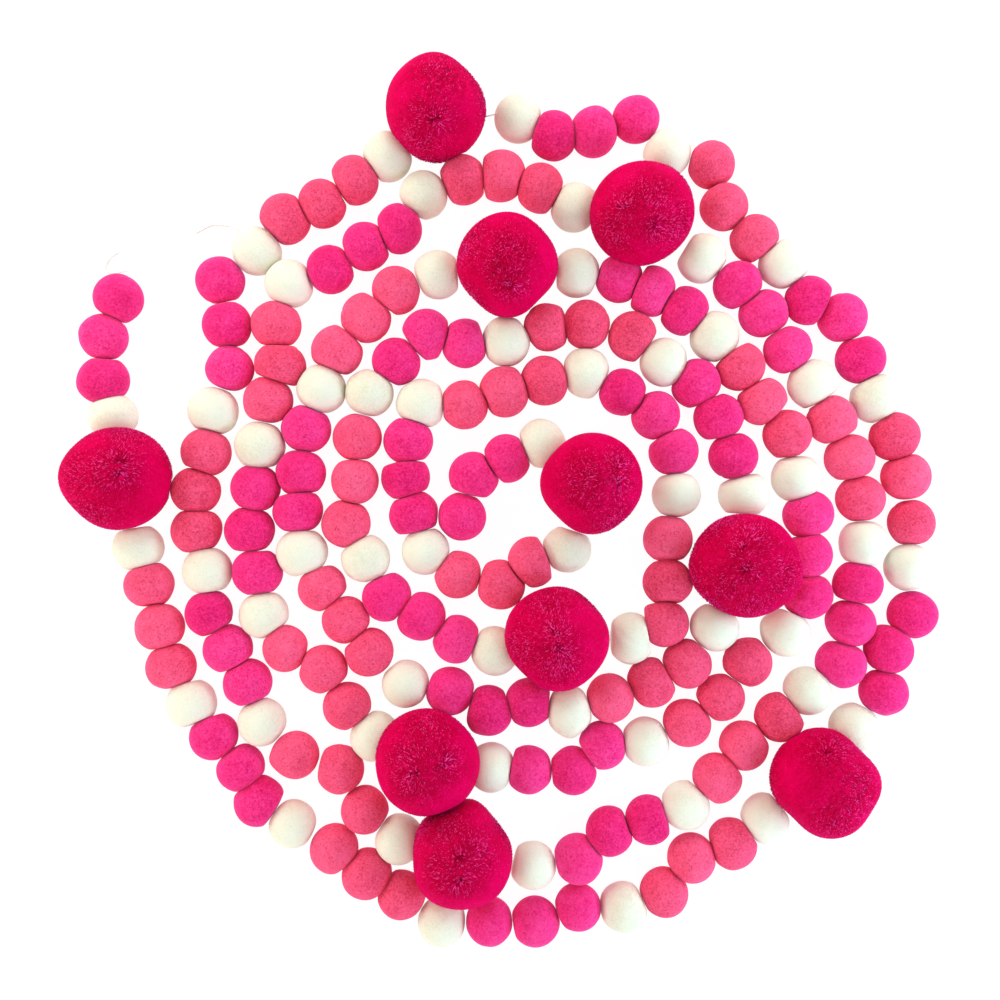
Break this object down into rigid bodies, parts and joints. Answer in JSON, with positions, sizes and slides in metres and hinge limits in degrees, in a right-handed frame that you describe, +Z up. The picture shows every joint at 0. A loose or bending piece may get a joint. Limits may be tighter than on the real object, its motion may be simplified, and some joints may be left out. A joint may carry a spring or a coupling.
{
  "type": "felt ball garland",
  "caption": "Garland of felted wool balls on a string with large yarn pompoms between them, laid out on a table in a flat spiral.",
  "frame": {"origin": "on the table under the middle of the spiral's outline", "axes": "+Z up from the table; +X to the right and +Y away, seen from above with the outer end at the left"},
  "size_m": [0.4731, 0.4826, 0.0544],
  "materials": {
    "felt_white": "matt felted wool, natural white",
    "felt_coral": "matt felted wool, coral",
    "felt_pink": "matt felted wool, hot pink",
    "yarn_raspberry": "dense trimmed yarn pile, raspberry",
    "string": "thin twisted cotton thread, undyed"
  },
  "bodies": {
    "root": {"end_outer": "felt_pink", "pompom_1": "yarn_raspberry", "section_1_run_1": "felt_coral", "section_1_run_2": "felt_pink", "section_1_run_3": "felt_coral", "section_1_run_4": "felt_pink", "section_1_run_5": "felt_coral", "pompom_2": "yarn_raspberry", "section_2_run_1": "felt_pink", "section_2_run_2": "felt_coral", "section_2_run_3": "felt_pink", "section_2_run_4": "felt_coral", "section_2_run_5": "felt_pink", "pompom_3": "yarn_raspberry", "section_3_run_1": "felt_coral", "section_3_run_2": "felt_pink", "section_3_run_3": "felt_coral", "section_3_run_4": "felt_pink", "section_3_run_5": "felt_coral", "pompom_4": "yarn_raspberry", "section_4_run_1": "felt_pink", "section_4_run_2": "felt_coral", "section_4_run_3": "felt_pink", "section_4_run_4": "felt_coral", "section_4_run_5": "felt_pink", "pompom_5": "yarn_raspberry", "section_5_run_1": "felt_coral", "section_5_run_2": "felt_pink", "section_5_run_3": "felt_coral", "section_5_run_4": "felt_pink", "section_5_run_5": "felt_coral", "pompom_6": "yarn_raspberry", "section_6_run_1": "felt_pink", "section_6_run_2": "felt_coral", "section_6_run_3": "felt_pink", "section_6_run_4": "felt_coral", "section_6_run_5": "felt_pink", "pompom_7": "yarn_raspberry", "section_7_run_1": "felt_coral", "section_7_run_2": "felt_pink", "section_7_run_3": "felt_coral", "section_7_run_4": "felt_pink", "section_7_run_5": "felt_coral", "pompom_8": "yarn_raspberry", "section_8_run_1": "felt_pink", "section_8_run_2": "felt_coral", "section_8_run_3": "felt_pink", "section_8_run_4": "felt_coral", "section_8_run_5": "felt_pink", "pompom_9": "yarn_raspberry", "section_9_run_1": "felt_coral", "section_9_run_2": "felt_pink", "section_9_run_3": "felt_coral", "section_9_run_4": "felt_pink", "section_9_run_5": "felt_coral", "pompom_10": "yarn_raspberry", "end_inner": "felt_pink", "string_between": "string", "string_tail_outer": "string", "string_tail_splice": "string"}
  },
  "joints": []
}
